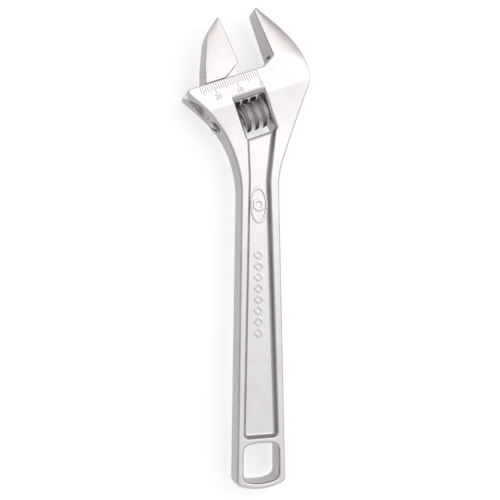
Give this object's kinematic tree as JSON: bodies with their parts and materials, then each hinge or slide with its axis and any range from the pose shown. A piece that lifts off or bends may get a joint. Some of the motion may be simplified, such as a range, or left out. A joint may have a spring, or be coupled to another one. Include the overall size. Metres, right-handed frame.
{
  "type": "adjustable wrench",
  "caption": "Adjustable wrench: forged handle with a fixed jaw, and a sliding jaw driven along its rail by a thumb-turned worm.",
  "frame": {"origin": "middle of the bounding box in X and Y, on the plane that the head's back face rests on", "axes": "+Y along the handle from the hanging hole to the jaws, +Z out of the front face, which carries the scale"},
  "size_m": [0.0534, 0.1998, 0.0128],
  "materials": {
    "plated_steel": "satin nickel-chrome plating over forged steel",
    "worm_steel": "satin plated steel",
    "spring_steel": "bright spring steel"
  },
  "bodies": {
    "wrench": {"body": "plated_steel", "worm_pin": "worm_steel", "spring": "spring_steel"},
    "jaw": {"movable_jaw": "plated_steel"},
    "worm": {"worm": "worm_steel"}
  },
  "joints": [
    {"name": "jaw_slide", "type": "slide", "parent": "wrench", "child": "jaw", "axis": [0.9239, 0.3827, 0], "range_m": [-0.008, 0.01595]},
    {"name": "worm_spin", "type": "hinge", "parent": "wrench", "child": "worm", "pos_m": [0.00205, 0.05418, 0.0064], "axis": [0.9239, 0.3827, 0], "range_deg": [-1531.7, 768.5]}
  ],
  "couplings": [
    {"joint": "worm_spin", "follows": "jaw_slide", "rad_per_m": -1675.5}
  ]
}
